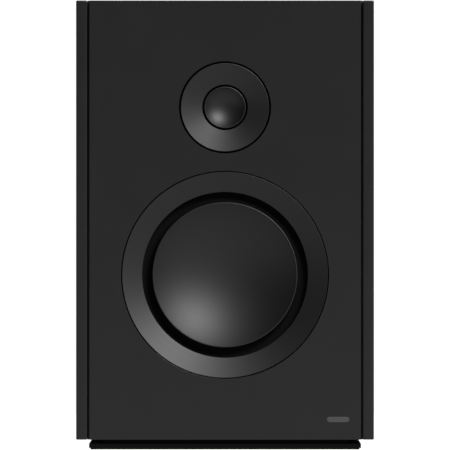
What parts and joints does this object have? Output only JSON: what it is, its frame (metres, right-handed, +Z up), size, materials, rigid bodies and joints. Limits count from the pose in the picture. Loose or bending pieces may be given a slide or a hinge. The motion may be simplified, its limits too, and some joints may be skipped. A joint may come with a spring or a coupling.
{
  "type": "bookshelf speaker",
  "caption": "Passive two-way bookshelf speaker: small metal dome above a large dished cone in a black box with stand-off side panels, low plinth, rear port and recessed binding posts.",
  "frame": {"origin": "middle of the underside of the plinth mat, on the surface the speaker stands on", "axes": "+Z up, -Y out of the front baffle, +X to the right seen from the front"},
  "size_m": [0.2, 0.235, 0.3015],
  "materials": {
    "cabinet_paint": "satin black paint on fibreboard",
    "raw_board": "bare fibreboard, inside only",
    "ring_anodised": "black anodised, satin",
    "cone_metal": "dark anodised, satin",
    "dome_metal": "dark anodised, satin",
    "basket_cast": "die cast, black paint",
    "black_rubber": "matt",
    "plated_steel": "zinc plated",
    "black_screw_steel": "black oxide",
    "ferrite": "matt, ground",
    "magnet_nickel": "nickel plated",
    "copper_wire": "enamelled copper winding",
    "gold_brass": "gold plated brass",
    "cloth_spider": "treated cloth",
    "wadding": "polyester wadding",
    "black_plastic": "fine texture",
    "red_plastic": "clear tinted knob",
    "knob_black": "knob",
    "board_laminate": "glass laminate",
    "capacitor_film": "film capacitor sleeve",
    "resistor_body": "cement resistor",
    "wire_sleeve": "insulation",
    "badge_finish": "satin grey inlay"
  },
  "bodies": {
    "cabinet": {"badge_bar": "badge_finish", "bass_coil": "copper_wire", "black_post": "gold_brass", "bottom_panel": "cabinet_paint", "capacitors": "capacitor_film", "crossover_board": "board_laminate", "crossover_screws": "plated_steel", "crossover_standoffs": "plated_steel", "front_baffle": "cabinet_paint", "input_wires": "wire_sleeve", "left_damping_pad": "wadding", "left_side_panel": "cabinet_paint", "left_wall": "cabinet_paint", "plinth": "cabinet_paint", "plinth_mat": "black_rubber", "plinth_screws": "plated_steel", "port_tube": "black_plastic", "post_insulators": "black_plastic", "post_nuts": "plated_steel", "rear_panel": "cabinet_paint", "red_post": "gold_brass", "resistors": "resistor_body", "right_damping_pad": "wadding", "right_side_panel": "cabinet_paint", "right_wall": "cabinet_paint", "side_panel_spacers": "black_plastic", "solder_tags": "gold_brass", "terminal_cup": "black_plastic", "terminal_screws": "black_screw_steel", "top_panel": "cabinet_paint", "treble_coil": "copper_wire", "tweeter_back_plate": "plated_steel", "tweeter_faceplate": "ring_anodised", "tweeter_magnet": "magnet_nickel", "tweeter_screws": "black_screw_steel", "tweeter_surround": "black_rubber", "tweeter_terminals": "gold_brass", "tweeter_top_plate": "plated_steel", "tweeter_wires": "wire_sleeve", "window_brace": "raw_board", "woofer_back_plate": "plated_steel", "woofer_basket": "basket_cast", "woofer_gasket": "black_rubber", "woofer_leads": "gold_brass", "woofer_magnet": "ferrite", "woofer_screws": "black_screw_steel", "woofer_spider": "cloth_spider", "woofer_surround": "black_rubber", "woofer_terminals": "gold_brass", "woofer_top_plate": "plated_steel", "woofer_trim_ring": "ring_anodised", "woofer_wires": "wire_sleeve"},
    "woofer_moving": {"woofer_cone": "cone_metal", "woofer_voice_coil": "copper_wire"},
    "tweeter_moving": {"tweeter_dome": "dome_metal", "tweeter_voice_coil": "copper_wire"},
    "red_clamp": {"red_washer": "gold_brass"},
    "black_clamp": {"black_washer": "gold_brass"},
    "red_screw_knob": {"red_knob": "red_plastic"},
    "black_screw_knob": {"black_knob": "knob_black"}
  },
  "joints": [
    {"name": "woofer_stroke", "type": "slide", "parent": "cabinet", "child": "woofer_moving", "axis": [0, -1, 0], "range_m": [-0.004, 0.004], "stiffness_N_per_m": 1100, "deforming": ["woofer_surround", "woofer_spider", "woofer_leads"]},
    {"name": "tweeter_stroke", "type": "slide", "parent": "cabinet", "child": "tweeter_moving", "axis": [0, -1, 0], "range_m": [-0.0004, 0.0004], "stiffness_N_per_m": 2000, "deforming": ["tweeter_surround"]},
    {"name": "red_clamp_travel", "type": "slide", "parent": "cabinet", "child": "red_clamp", "axis": [0, 1, 0], "range_m": [0, 0.00375]},
    {"name": "red_knob_turn", "type": "hinge", "parent": "red_clamp", "child": "red_screw_knob", "pos_m": [0.019, 0.0975, 0.0617], "axis": [0, 1, 0], "range_deg": [0, 1081]},
    {"name": "black_clamp_travel", "type": "slide", "parent": "cabinet", "child": "black_clamp", "axis": [0, 1, 0], "range_m": [0, 0.00375]},
    {"name": "black_knob_turn", "type": "hinge", "parent": "black_clamp", "child": "black_screw_knob", "pos_m": [-0.019, 0.0975, 0.0617], "axis": [0, 1, 0], "range_deg": [0, 1081]}
  ],
  "couplings": [
    {"joint": "red_knob_turn", "follows": "red_clamp_travel", "rad_per_m": 5026.5},
    {"joint": "black_knob_turn", "follows": "black_clamp_travel", "rad_per_m": 5026.5}
  ]
}
